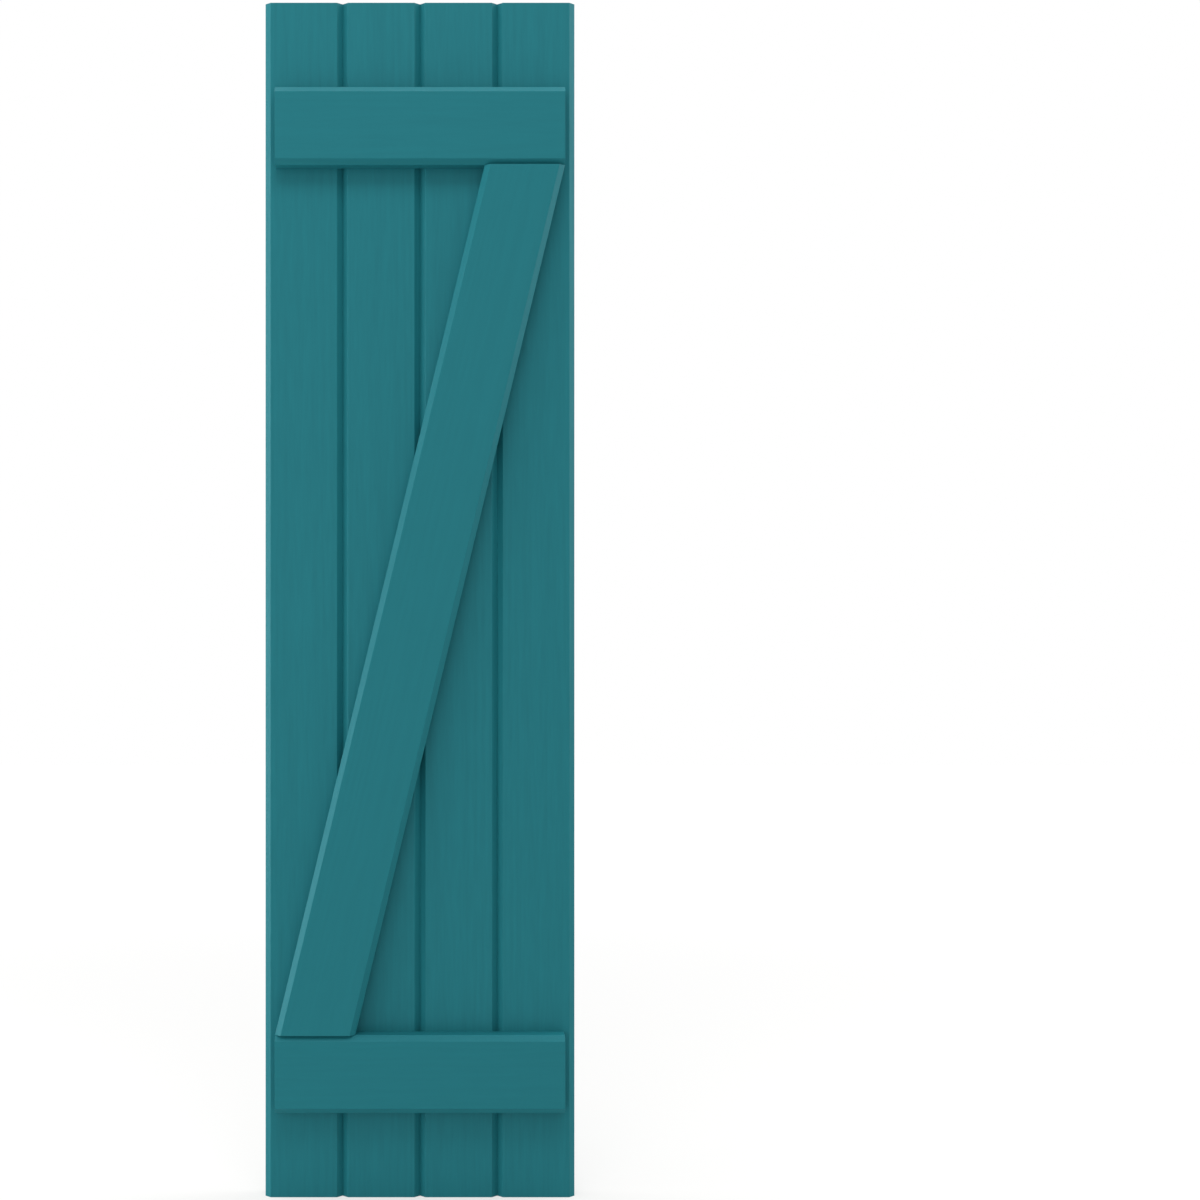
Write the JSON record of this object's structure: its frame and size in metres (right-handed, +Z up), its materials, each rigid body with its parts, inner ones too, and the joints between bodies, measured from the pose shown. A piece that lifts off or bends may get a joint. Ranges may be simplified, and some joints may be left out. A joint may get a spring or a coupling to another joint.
{
  "type": "board and batten shutter",
  "caption": "Exterior wall shutter of upright V-jointed tongue and groove boards, held by level battens and a diagonal brace across the face.",
  "frame": {"origin": "middle of the back, on the plane that lies against the wall", "axes": "+X to the right seen from the front, +Y into the wall, +Z up"},
  "size_m": [0.3556, 0.0508, 1.3716],
  "materials": {
    "painted_wood": "satin",
    "screw_steel": "zinc plated"
  },
  "bodies": {
    "root": {"left_edge_board": "painted_wood", "left_middle_board": "painted_wood", "right_middle_board": "painted_wood", "right_edge_board": "painted_wood", "top_batten": "painted_wood", "bottom_batten": "painted_wood", "diagonal_brace": "painted_wood"}
  },
  "joints": []
}
